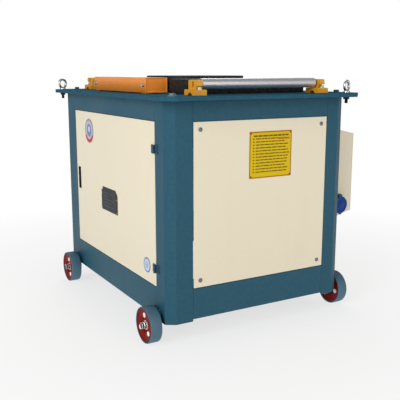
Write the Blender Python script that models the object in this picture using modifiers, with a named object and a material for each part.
"""Bar bending machine: a wheeled cabinet, its table plate, the bending disc and the gear drive.

Units are metres and +Z is up. The front panel faces -Y and the door faces -X.
The origin is on the floor, below the middle of the machine's overall length and width.
Places are given from the cabinet's front left corner and go through at(), which moves them
into the machine's frame.
"""

import math

import bmesh
import bpy
from mathutils import Matrix, Vector

# ---- driving dimensions -------------------------------------------------------------------

GAP = 0.0003                    # play left between pieces that touch

CABINET_X = 0.743
CABINET_Y = 0.962
CORNER_CHAMFER_X = 0.034        # flat on the outer corners, along X and along Y
CORNER_CHAMFER_Y = 0.021
SHEET = 0.003                   # frame sheet
POST_BOTTOM = 0.071
RAIL_BOTTOM = 0.079
OPENING_BOTTOM = 0.187
OPENING_TOP = 0.753
TABLE_UNDERSIDE = 0.821
LEFT_STILE = 0.0985             # width of the posts on the front and rear faces
RIGHT_STILE = 0.0845
FRONT_STILE = 0.081             # width of the posts on the left and right faces
REAR_STILE = 0.114

TABLE_THICKNESS = 0.014
TABLE_OVERHANG_X = 0.040
TABLE_OVERHANG_Y = 0.067
TABLE_CHAMFER = 0.046
TABLE_TOP = TABLE_UNDERSIDE + TABLE_THICKNESS

PANEL_GAP = 0.0025
PANEL_THICKNESS = 0.0025
DOOR_DEPTH = 0.012
DOOR_SHEET = 0.0015

WHEEL_RADIUS = 0.0635
WHEEL_WIDTH = 0.042
WHEEL_GAP = 0.014               # from the cabinet's side to the wheel
AXLE_RADIUS = 0.009
HUB_DEPTH = 0.0105              # hub faces below the wheel's rim
AXLE_END = 0.008                # axle beyond the wheel
FRONT_WHEEL_Y = 0.072
REAR_WHEEL_Y = 0.862

SPINDLE_X = 0.3775              # disc centre from the cabinet's left face
DISC_RADIUS = 0.193
DISC_TOP = 0.895
DISC_THICKNESS = 0.038
DISC_HOLE_RADIUS = 0.019
DISC_HOLE_CIRCLE = 0.130
DISC_HOLES = 8
CORE_HOLE_RADIUS = 0.022

ROLLER_RADIUS = 0.017
ROLLER_Y = 0.015                # from the cabinet's front or rear face, inwards
ROLLER_Z = 0.872
ROLLER_X = 0.367                # middle of the rollers from the cabinet's left face
ROLLER_HALF_LENGTH = 0.2325
BRACKET_OFFSET = 0.2505         # bracket centre from the middle of the rollers, along X

PIN_RAIL_LENGTH = 0.494
PIN_RAIL_WIDTH = 0.125
PIN_RAIL_HEIGHT = 0.0505
PIN_RAIL_Y = 0.1625             # rail centre from the front or rear face
PIN_HOLE_RADIUS = 0.018
PIN_HOLE_PITCH = 0.100
PIN_HOLES = 5

CONTROL_DEPTH = 0.140
CONTROL_Y = (0.100, 0.400)
STOP_BUTTON_REACH = 0.0225      # stop button beyond the control box

MAIN_MODULE = 0.005
FIRST_MODULE = 0.004
GEAR_TEETH = 60
PINION_TEETH = 12
BELT_PITCH = 0.0055             # from a pulley's rim to the belt's pitch line
DRIVEN_PULLEY_RADIUS = 0.120 + BELT_PITCH
MOTOR_PULLEY_RADIUS = 0.040 + BELT_PITCH
BELT_Z = 0.6225

# ---- values worked out from them ----------------------------------------------------------

REACH_LEFT = WHEEL_GAP + WHEEL_WIDTH + AXLE_END
REACH_RIGHT = CONTROL_DEPTH + STOP_BUTTON_REACH
LEFT = (REACH_LEFT - REACH_RIGHT) / 2 - CABINET_X / 2
FRONT = -CABINET_Y / 2

MIDDLE_Y = CABINET_Y / 2
MAIN_DISTANCE = MAIN_MODULE * (GEAR_TEETH + PINION_TEETH) / 2
FIRST_DISTANCE = FIRST_MODULE * (GEAR_TEETH + PINION_TEETH) / 2
SPINDLE = (SPINDLE_X, MIDDLE_Y)
COUNTERSHAFT = (SPINDLE_X, MIDDLE_Y - MAIN_DISTANCE)
INPUT_SHAFT = (SPINDLE_X + FIRST_DISTANCE, MIDDLE_Y - MAIN_DISTANCE)
MOTOR = (0.390, 0.770)

TURN_TO = {
    "X": Matrix(((0, 0, 1), (1, 0, 0), (0, 1, 0))),
    "Y": Matrix(((1, 0, 0), (0, 0, -1), (0, 1, 0))),
    "Z": Matrix.Identity(3),
}

# ---- materials ----------------------------------------------------------------------------

PAINTS = {
    "frame_blue": ((0.045, 0.115, 0.165), 0.42, 0.0),
    "panel_cream": ((0.80, 0.73, 0.58), 0.40, 0.0),
    "cover_orange": ((0.72, 0.19, 0.03), 0.38, 0.0),
    "bracket_yellow": ((0.85, 0.40, 0.03), 0.45, 0.0),
    "dark_steel": ((0.012, 0.012, 0.014), 0.45, 0.8),
    "bright_steel": ((0.55, 0.55, 0.56), 0.25, 1.0),
    "zinc": ((0.62, 0.63, 0.63), 0.30, 1.0),
    "cast_grey": ((0.16, 0.17, 0.18), 0.60, 0.2),
    "motor_blue": ((0.03, 0.09, 0.20), 0.50, 0.0),
    "wheel_tread": ((0.09, 0.20, 0.27), 0.60, 0.0),
    "rubber": ((0.015, 0.015, 0.015), 0.75, 0.0),
    "black_plastic": ((0.01, 0.01, 0.01), 0.50, 0.0),
    "socket_blue": ((0.01, 0.06, 0.32), 0.35, 0.0),
    "stop_red": ((0.55, 0.02, 0.02), 0.35, 0.0),
    "forward_green": ((0.02, 0.30, 0.06), 0.35, 0.0),
}


def paint(name):
    """Return the named paint, making it the first time it is asked for."""
    found = bpy.data.materials.get(name)
    if found:
        return found
    colour, roughness, metallic = PAINTS[name]
    made = bpy.data.materials.new(name)
    made.use_nodes = True
    shader = made.node_tree.nodes["Principled BSDF"]
    shader.inputs["Base Color"].default_value = (*colour, 1.0)
    shader.inputs["Roughness"].default_value = roughness
    shader.inputs["Metallic"].default_value = metallic
    return made


# ---- scene and collections ----------------------------------------------------------------


def empty_scene():
    """Remove what the scene holds."""
    for item in list(bpy.data.objects):
        bpy.data.objects.remove(item, do_unlink=True)


def collection(name):
    """Return a collection of the scene, making it when it is missing."""
    found = bpy.data.collections.get(name)
    if not found:
        found = bpy.data.collections.new(name)
        bpy.context.scene.collection.children.link(found)
    return found


def at(x, y, z):
    """Turn a place measured from the cabinet's front left corner into the machine's frame."""
    return Vector((LEFT + x, FRONT + y, z))


def place(name, mesh, colour, location, axis=None):
    """Put a mesh in the machine as a finished piece, or among the cutters when it has no paint."""
    item = bpy.data.objects.new(name, mesh)
    item.location = location
    if axis:
        item.rotation_euler = TURN_TO[axis].to_euler()
    if colour:
        mesh.materials.append(paint(colour))
        collection("bar_bending_machine").objects.link(item)
    else:
        item.hide_render = True
        item.display_type = "WIRE"
        collection("cutters").objects.link(item)
    return item


def axis_empty(name, location, pieces):
    """Add an empty on a joint's axis and hang the pieces that turn or slide there on it."""
    empty = bpy.data.objects.new(name, None)
    empty.location = location
    collection("bar_bending_machine").objects.link(empty)
    for piece in pieces:
        piece.parent = empty
        piece.location = piece.location - location


# ---- shapes -------------------------------------------------------------------------------


def smooth(mesh, angle=35):
    """Shade a mesh smooth, with edges sharper than the angle kept."""
    mesh.shade_smooth()
    mesh.set_sharp_from_angle(angle=math.radians(angle))


def block(name, low, high, colour=None, edge=0.0):
    """A rectangular block between two corners, its edges broken by a bevel."""
    low = Vector(low)
    high = Vector(high)
    mesh = bpy.data.meshes.new(name)
    form = bmesh.new()
    bmesh.ops.create_cube(form, size=1.0)
    bmesh.ops.scale(form, vec=high - low, verts=form.verts)
    form.to_mesh(mesh)
    form.free()
    middle = (low + high) / 2
    item = place(name, mesh, colour, at(*middle))
    if edge:
        break_edges(item, edge)
    return item


def open_shell(name, low, high, open_side, thickness, colour):
    """A sheet box between two corners, with one side left open."""
    low = Vector(low)
    high = Vector(high)
    outward = Vector(open_side)
    mesh = bpy.data.meshes.new(name)
    form = bmesh.new()
    bmesh.ops.create_cube(form, size=1.0)
    bmesh.ops.scale(form, vec=high - low, verts=form.verts)
    removed = [face for face in form.faces if face.normal.dot(outward) > 0.9]
    bmesh.ops.delete(form, geom=removed, context="FACES_ONLY")
    form.to_mesh(mesh)
    form.free()
    item = place(name, mesh, colour, at(*((low + high) / 2)))
    thicken(item, thickness)
    return item


def thicken(item, thickness):
    """Give an open sheet its thickness, inwards from the drawn surface."""
    solid = item.modifiers.new("sheet", "SOLIDIFY")
    solid.thickness = thickness
    solid.offset = -1.0
    solid.use_even_offset = True
    solid.use_quality_normals = True


def break_edges(item, width, segments=1, angle=40):
    """Bevel the edges that are sharper than the angle."""
    bevel = item.modifiers.new("edges", "BEVEL")
    bevel.width = width
    bevel.segments = segments
    bevel.limit_method = "ANGLE"
    bevel.angle_limit = math.radians(angle)


def prism(name, outline, start, end, axis, colour=None, centre=(0, 0)):
    """Extrude a closed outline along an axis.

    The outline is in (Y, Z) for axis X, in (X, Z) for axis Y and in (X, Y) for axis Z,
    measured from centre.
    """
    curve = bpy.data.curves.new(name, "CURVE")
    curve.dimensions = "2D"
    curve.fill_mode = "BOTH"
    curve.extrude = (end - start) / 2
    curve.resolution_u = 1
    spline = curve.splines.new("POLY")
    spline.points.add(len(outline) - 1)
    for point, (u, v) in zip(spline.points, outline):
        point.co = (u, v, 0.0, 1.0)
    spline.use_cyclic_u = True
    mesh = solid_from_curve(curve, name)
    middle = (start + end) / 2
    u, v = centre
    location = {"X": at(middle, u, v), "Y": at(u, middle, v), "Z": at(u, v, middle)}[axis]
    return place(name, mesh, colour, location, axis)


def solid_from_curve(curve, name):
    """Turn a filled curve into a closed mesh."""
    source = bpy.data.objects.new(name + "_curve", curve)
    bpy.context.scene.collection.objects.link(source)
    graph = bpy.context.evaluated_depsgraph_get()
    mesh = bpy.data.meshes.new_from_object(source.evaluated_get(graph))
    bpy.data.objects.remove(source, do_unlink=True)
    mesh.name = name
    form = bmesh.new()
    form.from_mesh(mesh)
    bmesh.ops.remove_doubles(form, verts=form.verts, dist=0.00001)
    bmesh.ops.recalc_face_normals(form, faces=form.faces)
    form.to_mesh(mesh)
    form.free()
    mesh.materials.clear()
    return mesh


def turned(name, profile, centre, axis, colour=None, steps=32, ring=False):
    """Turn a profile of (radius, height) points, listed down its outer side, about an axis.

    Heights run along the axis from centre. A ring's profile closes on itself.
    """
    mesh = bpy.data.meshes.new(name)
    points = [(radius, 0.0, height) for radius, height in profile]
    edges = [(i, i + 1) for i in range(len(points) - 1)]
    if ring:
        edges.append((len(points) - 1, 0))
    mesh.from_pydata(points, edges, [])
    item = place(name, mesh, colour, at(*centre), axis)
    screw = item.modifiers.new("turn", "SCREW")
    screw.steps = steps
    screw.render_steps = steps
    screw.use_merge_vertices = True
    screw.merge_threshold = 0.00005
    screw.use_smooth_shade = False
    return item


def bar(name, radius, start, end, centre, axis, colour=None, steps=24):
    """A plain round bar; centre is its place across the axis."""
    u, v = centre
    base = {"X": (0.0, u, v), "Y": (u, 0.0, v), "Z": (u, v, 0.0)}[axis]
    along = {"X": Vector((1, 0, 0)), "Y": Vector((0, 1, 0)), "Z": Vector((0, 0, 1))}[axis]
    if axis == "Y":
        start, end = -end, -start
        along = -along
    middle = Vector(base) + along * (start + end) / 2
    half = (end - start) / 2
    profile = ((0, half), (radius, half), (radius, -half), (0, -half))
    return turned(name, profile, middle, axis, colour, steps)


def cut(item, cutter):
    """Cut a shape out of a piece."""
    boolean = item.modifiers.new("cut", "BOOLEAN")
    boolean.operation = "DIFFERENCE"
    boolean.solver = "EXACT"
    boolean.object = cutter


def join(item, other):
    """Fuse another shape to a piece."""
    boolean = item.modifiers.new("join", "BOOLEAN")
    boolean.operation = "UNION"
    boolean.solver = "EXACT"
    boolean.object = other


def arc(centre, radius, start, end, count):
    """Points of an arc, from the start to the end angle in degrees."""
    points = []
    for i in range(count + 1):
        angle = math.radians(start + (end - start) * i / count)
        points.append((centre[0] + radius * math.cos(angle), centre[1] + radius * math.sin(angle)))
    return points


def slot_outline(half_width, low, high, count=6):
    """A slot with round ends, standing upright; low and high are its end centres."""
    return arc((0, high), half_width, 0, 180, count) + arc((0, low), half_width, 180, 360, count)


def gear_outline(module, teeth, addendum, facing, tooth_there):
    """Outline of a spur gear of 20 degree involute teeth.

    facing is the direction of the mating gear in degrees. A tooth points that way if
    tooth_there is set, and a space otherwise.
    """
    pressure = math.radians(20)
    play = 0.10 * module
    pitch = module * teeth / 2
    base = pitch * math.cos(pressure)
    root = pitch - 1.25 * module
    tip = pitch + addendum * module
    half_at_pitch = (math.pi * module / 2 - play) / 2 / pitch

    def half_angle(radius):
        at_radius = math.acos(min(1.0, base / radius))
        at_pitch = math.tan(pressure) - pressure
        return half_at_pitch + at_pitch - (math.tan(at_radius) - at_radius)

    flank = [(root, half_angle(max(root, base))), (tip, half_angle(tip))]
    if teeth < 30:
        flank.insert(1, (pitch, half_angle(pitch)))
    turn = math.radians(facing) + (0 if tooth_there else math.pi / teeth)
    points = []
    for tooth in range(teeth):
        middle = turn + 2 * math.pi * tooth / teeth
        for radius, half in flank:
            points.append((radius * math.cos(middle - half), radius * math.sin(middle - half)))
        for radius, half in reversed(flank):
            points.append((radius * math.cos(middle + half), radius * math.sin(middle + half)))
    return points


# ---- cabinet frame ------------------------------------------------------------------------


def make_posts():
    """Four bent corner posts with a flat on each outer corner."""
    slant = math.hypot(CORNER_CHAMFER_X, CORNER_CHAMFER_Y)
    inner_x = CORNER_CHAMFER_X + SHEET * (slant - CORNER_CHAMFER_X) / CORNER_CHAMFER_Y
    inner_y = CORNER_CHAMFER_Y + SHEET * (slant - CORNER_CHAMFER_Y) / CORNER_CHAMFER_X
    ends = (("front", FRONT_STILE, 0.0, 1), ("rear", REAR_STILE, CABINET_Y, -1))
    sides = (("left", LEFT_STILE, 0.0, 1), ("right", RIGHT_STILE, CABINET_X, -1))
    for end, side_stile, y_corner, y_way in ends:
        for side, face_stile, x_corner, x_way in sides:
            section = (
                (face_stile, 0), (CORNER_CHAMFER_X, 0), (0, CORNER_CHAMFER_Y), (0, side_stile),
                (SHEET, side_stile), (SHEET, inner_y), (inner_x, SHEET), (face_stile, SHEET),
            )
            outline = [(x_way * u, y_way * v) for u, v in section]
            prism(
                "post_%s_%s" % (end, side), outline, POST_BOTTOM, TABLE_UNDERSIDE - GAP, "Z",
                "frame_blue", centre=(x_corner, y_corner),
            )


def lower_section(lip):
    """Section of a lower rail as (depth, height): foot flange, web, and a lip set back by lip."""
    return (
        (0, RAIL_BOTTOM), (0.040, RAIL_BOTTOM), (0.040, RAIL_BOTTOM + SHEET), (SHEET, RAIL_BOTTOM + SHEET),
        (SHEET, OPENING_BOTTOM - SHEET), (lip + SHEET, OPENING_BOTTOM - SHEET),
        (lip + SHEET, OPENING_BOTTOM + 0.035), (lip, OPENING_BOTTOM + 0.035),
        (lip, OPENING_BOTTOM), (0, OPENING_BOTTOM),
    )


def upper_section(lip):
    """Section of an upper rail as (depth, height): lip, web, and a flange under the table."""
    top = TABLE_UNDERSIDE - GAP
    return (
        (0, top), (0.045, top), (0.045, top - SHEET), (SHEET, top - SHEET), (SHEET, OPENING_TOP + SHEET),
        (lip + SHEET, OPENING_TOP + SHEET), (lip + SHEET, OPENING_TOP - 0.035),
        (lip, OPENING_TOP - 0.035), (lip, OPENING_TOP), (0, OPENING_TOP),
    )


def make_rails():
    """Lower and upper rails between the posts. The left side's lips are set back for the door."""
    panel_lip = PANEL_THICKNESS + 0.0005
    door_lip = DOOR_DEPTH + 0.003
    for level, section in (("lower", lower_section), ("upper", upper_section)):
        for end, corner, way in (("front", 0.0, 1), ("rear", CABINET_Y, -1)):
            outline = [(way * depth, height) for depth, height in section(panel_lip)]
            prism(
                "%s_rail_%s" % (level, end), outline, LEFT_STILE + GAP, CABINET_X - RIGHT_STILE - GAP, "X",
                "frame_blue", centre=(corner, 0),
            )
        for side, corner, way, lip in (("left", 0.0, 1, door_lip), ("right", CABINET_X, -1, panel_lip)):
            outline = [(way * depth, height) for depth, height in section(lip)]
            prism(
                "%s_rail_%s" % (level, side), outline, FRONT_STILE + GAP, CABINET_Y - REAR_STILE - GAP, "Y",
                "frame_blue", centre=(corner, 0),
            )


def make_table_plate():
    """The thick table plate, with holes for the spindle and the lifting eyes."""
    low_x = -TABLE_OVERHANG_X
    high_x = CABINET_X + TABLE_OVERHANG_X
    low_y = -TABLE_OVERHANG_Y
    high_y = CABINET_Y + TABLE_OVERHANG_Y
    c = TABLE_CHAMFER
    outline = (
        (low_x + c, low_y), (high_x - c, low_y), (high_x, low_y + c), (high_x, high_y - c),
        (high_x - c, high_y), (low_x + c, high_y), (low_x, high_y - c), (low_x, low_y + c),
    )
    plate = prism("table_plate", outline, TABLE_UNDERSIDE, TABLE_TOP, "Z", "frame_blue")
    low = TABLE_UNDERSIDE - 0.01
    high = TABLE_TOP + 0.01
    cut(plate, bar("spindle_hole", 0.052, low, high, SPINDLE, "Z"))
    for name, centre in LIFTING_EYES:
        cut(plate, bar(name + "_hole", 0.0068, low, high, centre, "Z", steps=12))
    break_edges(plate, 0.0012)


def make_panels():
    """The flat front, rear and right panels."""
    low_z = OPENING_BOTTOM + PANEL_GAP
    high_z = OPENING_TOP - PANEL_GAP
    low_x = LEFT_STILE + PANEL_GAP
    high_x = CABINET_X - RIGHT_STILE - PANEL_GAP
    low_y = FRONT_STILE + PANEL_GAP
    high_y = CABINET_Y - REAR_STILE - PANEL_GAP
    t = PANEL_THICKNESS
    edge = 0.0006
    block("front_panel", (low_x, 0, low_z), (high_x, t, high_z), "panel_cream", edge)
    block("rear_panel", (low_x, CABINET_Y - t, low_z), (high_x, CABINET_Y, high_z), "panel_cream", edge)
    block("right_panel", (CABINET_X - t, low_y, low_z), (CABINET_X, high_y, high_z), "panel_cream", edge)


# ---- door ---------------------------------------------------------------------------------

DOOR_LOW = (0.0, FRONT_STILE + PANEL_GAP, OPENING_BOTTOM + PANEL_GAP)
DOOR_HIGH = (DOOR_DEPTH, CABINET_Y - REAR_STILE - PANEL_GAP, OPENING_TOP - PANEL_GAP)
HINGE_AXIS = (-0.006, FRONT_STILE + 0.001)
HINGE_HEIGHT = 0.028
HINGES = (("upper", 0.647), ("lower", 0.239))
PULL_LOW = (0.803, 0.420)
PULL_HIGH = (0.830, 0.513)


def make_hinge(name, bottom):
    """One small hinge: the frame half carries the pin and the door half turns on it."""
    x, y = HINGE_AXIS
    split = bottom + HINGE_HEIGHT / 2
    top = bottom + HINGE_HEIGHT
    knuckle = 0.005
    pin = 0.002
    leaf = 0.0027
    frame_half = block(
        "hinge_%s_frame_half" % name, (-leaf, y - 0.022, bottom), (-GAP, y - 0.0005, top), "cast_grey",
    )
    lower_knuckle = bar("knuckle_low_" + name, knuckle, bottom, split - GAP, (x, y), "Z", steps=16)
    join(frame_half, lower_knuckle)
    join(frame_half, bar("hinge_pin_" + name, pin, bottom + 0.002, top, (x, y), "Z", steps=12))
    door_half = block(
        "hinge_%s_door_half" % name, (-leaf, y + 0.0008, bottom), (-GAP, y + 0.022, top), "cast_grey",
    )
    upper_knuckle = bar("knuckle_high_" + name, knuckle, split + GAP, top, (x, y), "Z", steps=16)
    join(door_half, upper_knuckle)
    cut(door_half, bar("hinge_bore_" + name, pin + GAP, bottom - 0.01, top + 0.01, (x, y), "Z", steps=12))
    return trim_leaf(frame_half, door_half, name, x, y, split, bottom, top)


def trim_leaf(frame_half, door_half, name, x, y, split, bottom, top):
    """Cut each leaf back where the other half's knuckle stands."""
    room = 0.0056
    cut(frame_half, ring_cutter("frame_relief_" + name, room, split - GAP, top + 0.01, (x, y)))
    cut(door_half, ring_cutter("door_relief_" + name, room, bottom - 0.01, split + GAP, (x, y)))
    return door_half


def ring_cutter(name, radius, low, high, centre):
    """A tube that clears the outside of a knuckle and leaves the pin alone."""
    half = (high - low) / 2
    inside = 0.0026
    profile = ((inside, half), (radius, half), (radius, -half), (inside, -half))
    return turned(name, profile, (*centre, (low + high) / 2), "Z", steps=16, ring=True)


def make_door():
    """The door shell, its recessed pull and both hinges, hung on the hinge axis."""
    door = open_shell("door", DOOR_LOW, DOOR_HIGH, (1, 0, 0), DOOR_SHEET, "panel_cream")
    low = (-0.01, PULL_LOW[0], PULL_LOW[1])
    high = (0.01, PULL_HIGH[0], PULL_HIGH[1])
    cut(door, block("pull_hole", low, high))
    cup_low = (-0.001, PULL_LOW[0] + GAP, PULL_LOW[1] + GAP)
    cup_high = (0.011, PULL_HIGH[0] - GAP, PULL_HIGH[1] - GAP)
    pull = open_shell("door_pull", cup_low, cup_high, (-1, 0, 0), 0.0015, "black_plastic")
    leaves = [make_hinge(name, bottom) for name, bottom in HINGES]
    middle_z = (HINGES[0][1] + HINGES[1][1]) / 2
    axis_empty("door_axis", at(*HINGE_AXIS, middle_z), [door, pull] + leaves)


# ---- table top ----------------------------------------------------------------------------

LIFTING_EYES = (("lifting_eye_rear_left", (-0.011, 0.970)), ("lifting_eye_front_right", (0.743, -0.003)))
EYE_TURN = {"lifting_eye_rear_left": 19, "lifting_eye_front_right": 22}


def make_lifting_eyes():
    """Two eye bolts through opposite corners of the table plate."""
    ring_radius = 0.0175
    wire_radius = 0.005
    ring_z = 0.8595
    for name, (x, y) in LIFTING_EYES:
        profile = ((0, 0.8405), (0.0125, 0.8405), (0.0125, TABLE_TOP + GAP), (0.006, TABLE_TOP + GAP),
                   (0.006, 0.796), (0, 0.796))
        eye = turned(name, profile, (x, y, 0), "Z", "zinc", steps=12)
        tube = arc((ring_radius, 0), wire_radius, 0, -315, 7)
        ring = turned(name + "_ring", tube, (x, y, ring_z), "Z", steps=20, ring=True)
        ring.rotation_euler = (math.radians(90), 0, math.radians(EYE_TURN[name]))
        join(eye, ring)


def make_working_disc():
    """The bending disc: a core pin hole in the middle and a circle of pin holes."""
    chamfer = 0.003
    bottom = DISC_TOP - DISC_THICKNESS
    profile = (
        (0, DISC_TOP), (DISC_RADIUS - chamfer, DISC_TOP), (DISC_RADIUS, DISC_TOP - chamfer),
        (DISC_RADIUS, bottom + chamfer), (DISC_RADIUS - chamfer, bottom), (0, bottom),
    )
    disc = turned("working_disc", profile, (*SPINDLE, 0), "Z", "dark_steel", steps=48)
    low = bottom - 0.01
    high = DISC_TOP + 0.01
    cut(disc, bar("core_hole", CORE_HOLE_RADIUS, low, high, SPINDLE, "Z", steps=20))
    for i in range(DISC_HOLES):
        angle = 2 * math.pi * i / DISC_HOLES
        centre = (
            SPINDLE[0] + DISC_HOLE_CIRCLE * math.cos(angle),
            SPINDLE[1] + DISC_HOLE_CIRCLE * math.sin(angle),
        )
        cut(disc, bar("disc_hole_%d" % i, DISC_HOLE_RADIUS, low, high, centre, "Z", steps=18))
    return disc


def make_pin_rails():
    """Two steel rails with pin holes, bolted down on both sides of the disc."""
    for end, centre_y in (("front", PIN_RAIL_Y), ("rear", CABINET_Y - PIN_RAIL_Y)):
        low = (SPINDLE_X - PIN_RAIL_LENGTH / 2, centre_y - PIN_RAIL_WIDTH / 2, TABLE_TOP + GAP)
        high = (SPINDLE_X + PIN_RAIL_LENGTH / 2, centre_y + PIN_RAIL_WIDTH / 2, TABLE_TOP + PIN_RAIL_HEIGHT)
        rail = block("pin_rail_" + end, low, high, "dark_steel", 0.0015)
        for i in range(PIN_HOLES):
            x = SPINDLE_X + (i - (PIN_HOLES - 1) / 2) * PIN_HOLE_PITCH
            name = "pin_hole_%s_%d" % (end, i)
            spot = (x, centre_y)
            hole = bar(name, PIN_HOLE_RADIUS, TABLE_TOP - 0.01, high[2] + 0.01, spot, "Z", steps=16)
            cut(rail, hole)


def make_side_cover():
    """The orange sheet cover beside the disc, on two lugs that stand on the table."""
    low = (0.046, 0.240, TABLE_TOP + 0.003)
    high = (0.130, 0.730, 0.890)
    cover = open_shell("side_cover", low, high, (0, 0, -1), 0.0025, "cover_orange")
    for end, y in (("front", 0.244), ("rear", 0.686)):
        lug = block("cover_lug_" + end, (0.0475, y, TABLE_TOP + GAP), (0.072, y + 0.040, 0.878))
        join(cover, lug)


def make_roller_brackets():
    """Four cast brackets: an arched foot and an upright with a slot for the roller's end.

    The upright is notched on its outer side to leave room for the bolt through the foot.
    """
    foot_half_x = 0.0215
    foot_half_y = 0.037
    foot_top = 0.0185
    foot_edge = 0.003
    upright_half_x = 0.010
    upright_half_y = 0.030
    upright_top = 0.049
    notch_y = 0.017
    notch_top = foot_top + 0.012
    arch_half = 0.015
    arch_top = 0.009
    corner = 0.006
    base = TABLE_TOP + GAP
    foot = [(-foot_half_y, 0), (-arch_half, 0)] + arc((0, arch_top - arch_half), arch_half, 150, 30, 6)
    foot = [(u, max(v, 0.0)) for u, v in foot]
    break_y = foot_half_y - foot_edge
    break_z = foot_top - foot_edge
    foot += [
        (arch_half, 0), (foot_half_y, 0), (foot_half_y, break_z), (break_y, foot_top),
        (-break_y, foot_top), (-foot_half_y, break_z),
    ]
    upright = [(-upright_half_y, notch_top), (-notch_y, notch_top), (-notch_y, 0.012)]
    upright += [(upright_half_y, 0.012)]
    upright += arc((upright_half_y - corner, upright_top - corner), corner, 0, 90, 3)
    upright += arc((-upright_half_y + corner, upright_top - corner), corner, 90, 180, 3)
    slot = slot_outline(0.0066, ROLLER_Z - base - 0.005, ROLLER_Z - base + 0.0015)
    for end, y, way in (("front", ROLLER_Y, 1), ("rear", CABINET_Y - ROLLER_Y, -1)):
        upright_here = [(way * u, v) for u, v in upright]
        for side, x in (("left", ROLLER_X - BRACKET_OFFSET), ("right", ROLLER_X + BRACKET_OFFSET)):
            name = "roller_bracket_%s_%s" % (end, side)
            centre = (y, base)
            low = x - foot_half_x
            high = x + foot_half_x
            bracket = prism(name, foot, low, high, "X", "bracket_yellow", centre)
            low = x - upright_half_x
            high = x + upright_half_x
            stem = prism(name + "_upright", upright_here, low, high, "X", None, centre)
            join(bracket, stem)
            cut(bracket, prism(name + "_slot", slot, x - 0.03, x + 0.03, "X", None, centre))


def make_rollers():
    """Two rollers along X, whose journals turn in the brackets' slots."""
    journal = 0.006
    half = ROLLER_HALF_LENGTH
    tip = BRACKET_OFFSET + 0.006
    edge = 0.0015
    shoulder = ROLLER_RADIUS - edge
    profile = (
        (0, tip), (journal, tip), (journal, half), (shoulder, half), (ROLLER_RADIUS, half - edge),
        (ROLLER_RADIUS, -half + edge), (shoulder, -half), (journal, -half), (journal, -tip), (0, -tip),
    )
    for end, y in (("front", ROLLER_Y), ("rear", CABINET_Y - ROLLER_Y)):
        centre = (ROLLER_X, y, ROLLER_Z)
        roller = turned("roller_" + end, profile, centre, "X", "bright_steel", steps=20)
        axis_empty("roller_%s_axis" % end, at(*centre), [roller])


# ---- wheels -------------------------------------------------------------------------------


def make_wheels():
    """Four wheels along the sides, each on a stub axle welded to a lug on the frame."""
    half = WHEEL_WIDTH / 2
    face = half - 0.003
    hub = half - HUB_DEPTH
    hub_radius = 0.020
    dish_radius = 0.029
    bore = AXLE_RADIUS + GAP
    tread = 0.0575
    shoulder = WHEEL_RADIUS - 0.002
    profile = (
        (bore, hub), (hub_radius, hub), (dish_radius, face), (tread, face), (tread + 0.001, half),
        (shoulder, half),
        (WHEEL_RADIUS, half - 0.003), (WHEEL_RADIUS, -half + 0.003),
        (shoulder, -half), (tread + 0.001, -half), (tread, -face), (dish_radius, -face), (hub_radius, -hub),
        (bore, -hub),
    )
    for end, y in (("front", FRONT_WHEEL_Y), ("rear", REAR_WHEEL_Y)):
        for side, face_x, way in (("left", 0.0, -1), ("right", CABINET_X, 1)):
            name = "%s_%s" % (end, side)
            centre = (face_x + way * (WHEEL_GAP + half), y, WHEEL_RADIUS)
            wheel = turned("wheel_" + name, profile, centre, "X", "wheel_tread", steps=28, ring=True)
            axis_empty("wheel_%s_axis" % name, at(*centre), [wheel])
            make_axle_bracket(name, face_x, way, y)


def make_axle_bracket(name, face_x, way, y):
    """A round-ended lug on the cabinet's side, with a collar and the stub axle."""
    lug_radius = 0.025
    lug_thickness = 0.008
    lug_top = 0.118 - WHEEL_RADIUS
    outline = arc((0, 0), lug_radius, 180, 360, 10) + [(lug_radius, lug_top), (-lug_radius, lug_top)]
    inner = face_x + way * GAP
    outer = inner + way * lug_thickness
    low, high = sorted((inner, outer))
    lug = prism("axle_bracket_" + name, outline, low, high, "X", "zinc", centre=(y, WHEEL_RADIUS))
    collar_end = face_x + way * (WHEEL_GAP + HUB_DEPTH - 0.001)
    low, high = sorted((outer - way * 0.002, collar_end))
    join(lug, bar("axle_collar_" + name, 0.014, low, high, (y, WHEEL_RADIUS), "X", steps=16))
    low, high = sorted((outer - way * 0.004, face_x + way * REACH_LEFT))
    join(lug, bar("axle_" + name, AXLE_RADIUS, low, high, (y, WHEEL_RADIUS), "X", steps=16))


# ---- control box --------------------------------------------------------------------------

CONTROL_WALL_Z = (0.328, 0.703)
CONTROL_FACE_Z = (0.362, 0.671)
COVER_THICKNESS = 0.0027
SOCKET_CENTRE = (0.7995, 0.396)
SOCKET_RADIUS = 0.033
SOCKET_FRONT = 0.0700
LID_BACK = 0.0695
LID_FRONT = 0.0655
LID_AXIS_Z = SOCKET_CENTRE[1] + 0.038
BUTTONS = (
    ("stop_button", 0.250, 0.600, "stop_red"),
    ("forward_button", 0.190, 0.490, "forward_green"),
    ("reverse_button", 0.310, 0.490, "black_plastic"),
)


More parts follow.
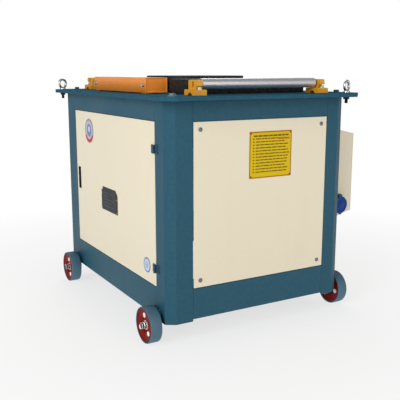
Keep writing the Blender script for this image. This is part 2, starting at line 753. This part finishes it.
def make_control_box():
    """The control box on the right side: a sloped sheet box, its cover and three buttons."""
    back = CABINET_X + GAP
    face = CABINET_X + CONTROL_DEPTH
    rim = face - COVER_THICKNESS - GAP
    low_y, high_y = CONTROL_Y
    slope = (rim - CABINET_X) / CONTROL_DEPTH
    rim_low = CONTROL_WALL_Z[0] + slope * (CONTROL_FACE_Z[0] - CONTROL_WALL_Z[0])
    rim_high = CONTROL_WALL_Z[1] + slope * (CONTROL_FACE_Z[1] - CONTROL_WALL_Z[1])
    mesh = bpy.data.meshes.new("control_box")
    form = bmesh.new()
    bmesh.ops.create_cube(form, size=1.0)
    for vert in form.verts:
        outer = vert.co.x > 0
        heights = (rim_low, rim_high) if outer else CONTROL_WALL_Z
        vert.co = (rim if outer else back, high_y if vert.co.y > 0 else low_y, heights[vert.co.z > 0])
    form.normal_update()
    removed = [side for side in form.faces if side.normal.x > 0.9]
    bmesh.ops.delete(form, geom=removed, context="FACES_ONLY")
    form.to_mesh(mesh)
    form.free()
    box = place("control_box", mesh, "panel_cream", at(0, 0, 0))
    thicken(box, 0.002)
    cover_low = (face - COVER_THICKNESS, low_y, CONTROL_FACE_Z[0])
    cover_high = (face, high_y, CONTROL_FACE_Z[1])
    cover = block("control_box_cover", cover_low, cover_high, "panel_cream", 0.0006)
    for name, y, z, colour in BUTTONS:
        cut(cover, bar(name + "_hole", 0.0115, face - 0.02, face + 0.02, (y, z), "X", steps=16))
        make_button(name, face, y, z, colour)


def make_button(name, face, y, z, colour):
    """A push button along X. The stop button has a mushroom head."""
    stem = 0.011
    inside = -0.015
    if name == "stop_button":
        head = 0.020
        reach = STOP_BUTTON_REACH
        profile = (
            (0, reach), (head - 0.006, reach), (head, reach - 0.006), (head, 0.006), (stem, 0.006),
            (stem, inside), (0, inside),
        )
    else:
        reach = 0.010
        profile = ((0, reach), (stem - 0.001, reach), (stem, reach - 0.001), (stem, inside), (0, inside))
    button = turned(name, profile, (face, y, z), "X", colour, steps=20)
    axis_empty(name + "_axis", at(face, y, z), [button])


def make_power_socket():
    """The round socket on the control box's front side, with its hinged lid."""
    x, z = SOCKET_CENTRE
    low_y = CONTROL_Y[0]
    depth = low_y - GAP - SOCKET_FRONT
    cavity = 0.024
    profile = (
        (cavity, depth), (SOCKET_RADIUS, depth), (SOCKET_RADIUS, 0), (0, 0), (0, 0.005), (cavity, 0.005),
    )
    socket = turned("power_socket", profile, (x, low_y - GAP, z), "Y", "socket_blue", steps=24, ring=True)
    lug_low = (x - 0.010, SOCKET_FRONT + 0.0008, z + 0.028)
    lug = block("socket_lug", lug_low, (x + 0.010, low_y - GAP, LID_AXIS_Z + 0.004))
    join(socket, lug)
    half = (LID_BACK - LID_FRONT) / 2
    lid_y = (LID_BACK + LID_FRONT) / 2
    radius = SOCKET_RADIUS + 0.001
    lid_profile = ((0, half), (radius - 0.001, half), (radius, half - 0.001), (radius, -half), (0, -half))
    lid = turned("socket_lid", lid_profile, (x, lid_y, z), "Y", "socket_blue", steps=24)
    tab_low = (x - 0.009, LID_FRONT, z + 0.020)
    tab_high = (x + 0.009, LID_BACK, LID_AXIS_Z + 0.002)
    join(lid, block("lid_tab", tab_low, tab_high))
    axis_empty("socket_lid_axis", at(x, lid_y, LID_AXIS_Z), [lid])


# ---- gear drive ---------------------------------------------------------------------------

GEARBOX_LOW = (0.1965, 0.157, 0.650)
GEARBOX_HIGH = (0.565, 0.656, 0.8022)
GEARBOX_WALL = 0.010
SPINDLE_RADIUS = 0.035
SPINDLE_JOURNAL = 0.025
COUNTERSHAFT_RADIUS = 0.0175
INPUT_RADIUS = 0.015
FIRST_STAGE_Z = (0.678, 0.703)
MAIN_STAGE_Z = (0.742, 0.782)


def make_gearbox():
    """The cast housing that hangs under the table, and its cover plate."""
    housing = open_shell("gearbox_housing", GEARBOX_LOW, GEARBOX_HIGH, (0, 0, 1), GEARBOX_WALL, "cast_grey")
    holes = ((SPINDLE, SPINDLE_JOURNAL), (COUNTERSHAFT, COUNTERSHAFT_RADIUS), (INPUT_SHAFT, INPUT_RADIUS))
    for i, (centre, radius) in enumerate(holes):
        hole = bar("housing_hole_%d" % i, radius + 0.0005, 0.60, 0.67, centre, "Z", steps=20)
        cut(housing, hole)
    low = (GEARBOX_LOW[0], GEARBOX_LOW[1], GEARBOX_HIGH[2] + GAP)
    high = (GEARBOX_HIGH[0], GEARBOX_HIGH[1], TABLE_UNDERSIDE - GAP)
    cover = block("gearbox_cover", low, high, "cast_grey")
    cut(cover, bar("cover_hole", 0.040, 0.79, 0.83, SPINDLE, "Z", steps=20))


def make_spindle_body():
    """The spindle with its main gear and the working disc, on the disc's axis."""
    top = DISC_TOP - DISC_THICKNESS - GAP
    profile = (
        (0, top), (0.075, top), (0.075, 0.842), (SPINDLE_RADIUS, 0.842), (SPINDLE_RADIUS, 0.700),
        (SPINDLE_JOURNAL, 0.700), (SPINDLE_JOURNAL, 0.653), (0, 0.653),
    )
    spindle = turned("spindle", profile, (*SPINDLE, 0), "Z", "bright_steel", steps=24)
    outline = gear_outline(MAIN_MODULE, GEAR_TEETH, 0.75, -90, True)
    gear = prism("main_gear", outline, *MAIN_STAGE_Z, "Z", "cast_grey", centre=SPINDLE)
    cut(gear, bar("main_gear_bore", SPINDLE_RADIUS + GAP, 0.73, 0.79, SPINDLE, "Z", steps=28))
    axis_empty("disc_axis", at(*SPINDLE, DISC_TOP), [make_working_disc(), spindle, gear])


def make_countershaft():
    """The countershaft: the first wheel and the second pinion in one piece with their shaft."""
    outline = gear_outline(FIRST_MODULE, GEAR_TEETH, 0.75, 0, True)
    shaft = prism("countershaft", outline, *FIRST_STAGE_Z, "Z", "cast_grey", centre=COUNTERSHAFT)
    join(shaft, bar("countershaft_bar", COUNTERSHAFT_RADIUS, 0.652, 0.798, COUNTERSHAFT, "Z", steps=20))
    pinion = gear_outline(MAIN_MODULE, PINION_TEETH, 0.9, 90, False)
    join(shaft, prism("countershaft_pinion", pinion, 0.735, 0.789, "Z", None, centre=COUNTERSHAFT))
    axis_empty("countershaft_axis", at(*COUNTERSHAFT, BELT_Z), [shaft])


def pulley_profile(radius, bore, hub_low):
    """A V pulley for one belt, about BELT_Z; the hub runs down to hub_low."""
    half = 0.0125
    mouth = 0.009
    floor = 0.0053
    depth = 0.014
    hub = bore + 0.012
    return (
        (bore, half), (radius, half), (radius, mouth), (radius - depth, floor), (radius - depth, -floor),
        (radius, -mouth), (radius, -half), (hub, -half), (hub, hub_low), (bore, hub_low),
    )


def make_input_shaft():
    """The input pinion shaft, with the large pulley on its lower end."""
    outline = gear_outline(FIRST_MODULE, PINION_TEETH, 0.9, 180, False)
    shaft = prism("input_pinion_shaft", outline, 0.674, 0.707, "Z", "cast_grey", centre=INPUT_SHAFT)
    join(shaft, bar("input_bar", INPUT_RADIUS, 0.598, 0.798, INPUT_SHAFT, "Z", steps=20))
    centre = (*INPUT_SHAFT, BELT_Z)
    profile = pulley_profile(DRIVEN_PULLEY_RADIUS, INPUT_RADIUS + GAP, -0.018)
    pulley = turned("driven_pulley", profile, centre, "Z", "dark_steel", steps=32, ring=True)
    axis_empty("input_axis", at(*centre), [shaft, pulley])


def make_motor():
    """The motor under its bracket, and the motor pulley on top."""
    x, y = MOTOR
    plate_low = 0.578
    profile = (
        (0, 0.5777), (0.085, 0.5777), (0.085, 0.570), (0.100, 0.570), (0.100, 0.562),
        (0.095, 0.562), (0.095, 0.312), (0.098, 0.312), (0.098, 0.262), (0.088, 0.252), (0, 0.252),
    )
    motor = turned("motor", profile, (x, y, 0), "Z", "motor_blue", steps=24)
    join(motor, block("terminal_box", (x - 0.150, y - 0.050, 0.420), (x - 0.080, y + 0.050, 0.520)))
    half = 0.120
    t = 0.008
    foot = 0.035
    top = TABLE_UNDERSIDE - GAP
    outline = (
        (-half - t - foot, top), (-half, top), (-half, plate_low + t), (half, plate_low + t), (half, top),
        (half + t + foot, top), (half + t + foot, top - t), (half + t, top - t), (half + t, plate_low),
        (-half - t, plate_low), (-half - t, top - t), (-half - t - foot, top - t),
    )
    bracket = prism("motor_bracket", outline, y - 0.080, y + 0.080, "Y", "frame_blue", centre=(x, 0))
    cut(bracket, bar("bracket_hole", 0.032, plate_low - 0.01, plate_low + 0.02, MOTOR, "Z", steps=20))
    centre = (x, y, BELT_Z)
    shaft_low = plate_low + 0.0005 - BELT_Z
    pulley_points = list(pulley_profile(MOTOR_PULLEY_RADIUS, 0.014, shaft_low))
    solid_profile = [(0, 0.0125)] + pulley_points[1:-1] + [(0, shaft_low)]
    pulley = turned("motor_pulley", solid_profile, centre, "Z", "dark_steel", steps=24)
    axis_empty("motor_axis", at(*centre), [pulley])


def belt_line(inset):
    """The line of the belt round both pulleys, inset from their rims, in (X, Y)."""
    small = MOTOR_PULLEY_RADIUS - inset
    large = DRIVEN_PULLEY_RADIUS - inset
    dx = INPUT_SHAFT[0] - MOTOR[0]
    dy = INPUT_SHAFT[1] - MOTOR[1]
    distance = math.hypot(dx, dy)
    heading = math.degrees(math.atan2(dy, dx))
    lean = math.degrees(math.asin((large - small) / distance))
    points = arc(INPUT_SHAFT, large, heading - 90 - lean, heading + 90 + lean, 18)
    return points + arc(MOTOR, small, heading + 90 + lean, heading + 270 - lean, 12)


def make_belt():
    """The V-belt: a tapered section swept round the two pulleys."""
    top_half = 0.0082
    bottom_half = 0.0052
    outer = 0.0010
    inner = 0.0115
    section = ((outer, top_half), (outer, -top_half), (inner, -bottom_half), (inner, bottom_half))
    mesh = bpy.data.meshes.new("v_belt")
    form = bmesh.new()
    loops = []
    for inset, height in section:
        loops.append([form.verts.new((u, v, height)) for u, v in belt_line(inset)])
    for i, loop in enumerate(loops):
        following = loops[(i + 1) % len(loops)]
        for j in range(len(loop)):
            k = (j + 1) % len(loop)
            form.faces.new((loop[j], loop[k], following[k], following[j]))
    bmesh.ops.recalc_face_normals(form, faces=form.faces)
    form.to_mesh(mesh)
    form.free()
    place("v_belt", mesh, "rubber", at(0, 0, BELT_Z))


# ---- the whole machine --------------------------------------------------------------------


def make_machine():
    empty_scene()
    make_posts()
    make_rails()
    make_table_plate()
    make_panels()
    make_door()
    make_lifting_eyes()
    make_pin_rails()
    make_side_cover()
    make_roller_brackets()
    make_rollers()
    make_wheels()
    make_control_box()
    make_power_socket()
    make_gearbox()
    make_spindle_body()
    make_countershaft()
    make_input_shaft()
    make_motor()
    make_belt()
    for item in collection("bar_bending_machine").objects:
        if item.type == "MESH":
            smooth(item.data)


make_machine()
